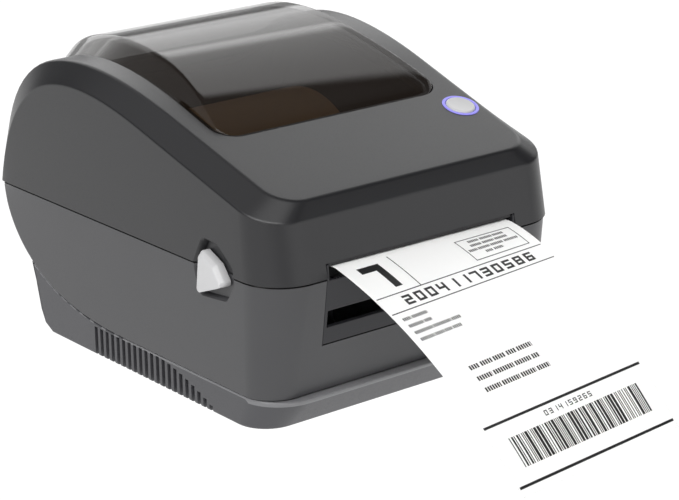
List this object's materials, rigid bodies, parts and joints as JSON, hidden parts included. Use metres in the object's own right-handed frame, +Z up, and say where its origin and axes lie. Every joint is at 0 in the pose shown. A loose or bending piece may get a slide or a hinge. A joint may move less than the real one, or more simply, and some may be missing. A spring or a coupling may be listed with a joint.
{
  "type": "thermal label printer",
  "caption": "Desktop thermal label printer with a hinged top cover, raised smoked window, side release levers, feed button, front label exit and an internal media roll.",
  "frame": {"origin": "middle of the whole part's width and depth, the label and the hinge included, on the plane of the feet's undersides", "axes": "+Z up, +Y towards the rear of the printer, so the label comes out towards -Y, +X to the printer's right seen from the front"},
  "size_m": [0.179, 0.3437, 0.1491],
  "materials": {
    "shell": "satin",
    "panel": "satin",
    "inner_plastic": "matte",
    "window": "gloss",
    "light_plastic": "satin",
    "light_ring": "gloss",
    "rubber": "matte",
    "steel": "brushed",
    "aluminium": "satin",
    "head_ceramic": "matte",
    "board": "satin",
    "gear_plastic": "matte",
    "brass": "satin",
    "label": "matte",
    "core": "matte"
  },
  "bodies": {
    "housing": {"lower_housing": "shell", "base_pan": "panel", "foot_1": "rubber", "foot_2": "rubber", "foot_3": "rubber", "foot_4": "rubber", "base_screw_1": "steel", "base_screw_2": "steel", "base_screw_3": "steel", "base_screw_4": "steel", "front_panel": "panel", "tear_bar": "steel", "bay_liner": "inner_plastic", "media_deck": "inner_plastic", "gap_sensor": "inner_plastic", "side_frame_left": "steel", "side_frame_right": "steel", "head_rail": "steel", "stepper_motor": "steel", "main_board": "board", "dc_jack": "inner_plastic", "usb_port": "steel", "switch_frame": "inner_plastic", "label_web": "label", "hinge_pin_left": "steel", "hinge_pin_right": "steel"},
    "cover": {"top_cover": "shell", "window": "window", "window_frame": "inner_plastic", "light_ring": "light_ring", "button_board": "board", "head_bracket": "steel", "print_head": "head_ceramic", "head_heatsink": "aluminium", "catch_pin_left": "steel", "catch_pin_right": "steel"},
    "button": {"feed_button": "light_plastic"},
    "latch": {"latch_shaft": "steel", "lever_left": "light_plastic", "lever_right": "light_plastic", "hook_left": "inner_plastic", "hook_right": "inner_plastic"},
    "left_guide": {"guide_left": "inner_plastic"},
    "right_guide": {"guide_right": "inner_plastic"},
    "roll": {"label_roll": "label", "roll_core": "core"},
    "platen": {"platen_rubber": "rubber", "platen_shaft": "steel", "platen_gear": "light_plastic"},
    "idler": {"idler_gear": "gear_plastic"},
    "pinion": {"motor_gear": "brass"},
    "rocker": {"power_rocker": "inner_plastic"}
  },
  "joints": [
    {"name": "cover_hinge", "type": "hinge", "parent": "housing", "child": "cover", "pos_m": [0, 0.16865, 0.07115], "axis": [-1, 0, 0], "range_deg": [0, 85]},
    {"name": "feed_button_press", "type": "slide", "parent": "cover", "child": "button", "axis": [0, 0.2924, -0.9563], "range_m": [0, 0.0006], "stiffness_N_per_m": 600},
    {"name": "latch_turn", "type": "hinge", "parent": "housing", "child": "latch", "pos_m": [0, -0.00525, 0.0633], "axis": [1, 0, 0], "range_deg": [0, 12], "stiffness_Nm_per_rad": 0.3},
    {"name": "right_guide_slide", "type": "slide", "parent": "housing", "child": "right_guide", "axis": [1, 0, 0], "range_m": [0, 0.016]},
    {"name": "left_guide_slide", "type": "slide", "parent": "housing", "child": "left_guide", "axis": [-1, 0, 0], "range_m": [0, 0.016]},
    {"name": "roll_spin", "type": "hinge", "parent": "housing", "child": "roll", "pos_m": [0, 0.09615, 0.0635], "axis": [1, 0, 0], "continuous": true},
    {"name": "platen_spin", "type": "hinge", "parent": "housing", "child": "platen", "pos_m": [0, -0.03485, 0.0668], "axis": [1, 0, 0], "continuous": true},
    {"name": "idler_spin", "type": "hinge", "parent": "housing", "child": "idler", "pos_m": [0, -0.02226, 0.05126], "axis": [1, 0, 0], "continuous": true},
    {"name": "pinion_spin", "type": "hinge", "parent": "housing", "child": "pinion", "pos_m": [0, -0.01282, 0.0396], "axis": [1, 0, 0], "continuous": true},
    {"name": "power_rocker_tilt", "type": "hinge", "parent": "housing", "child": "rocker", "pos_m": [-0.052, 0.14355, 0.0205], "axis": [1, 0, 0], "range_deg": [-7, 7]}
  ],
  "couplings": [
    {"joint": "left_guide_slide", "follows": "right_guide_slide", "ratio": 1},
    {"joint": "idler_spin", "follows": "platen_spin", "ratio": -1.2222},
    {"joint": "pinion_spin", "follows": "platen_spin", "ratio": 1.8333}
  ]
}
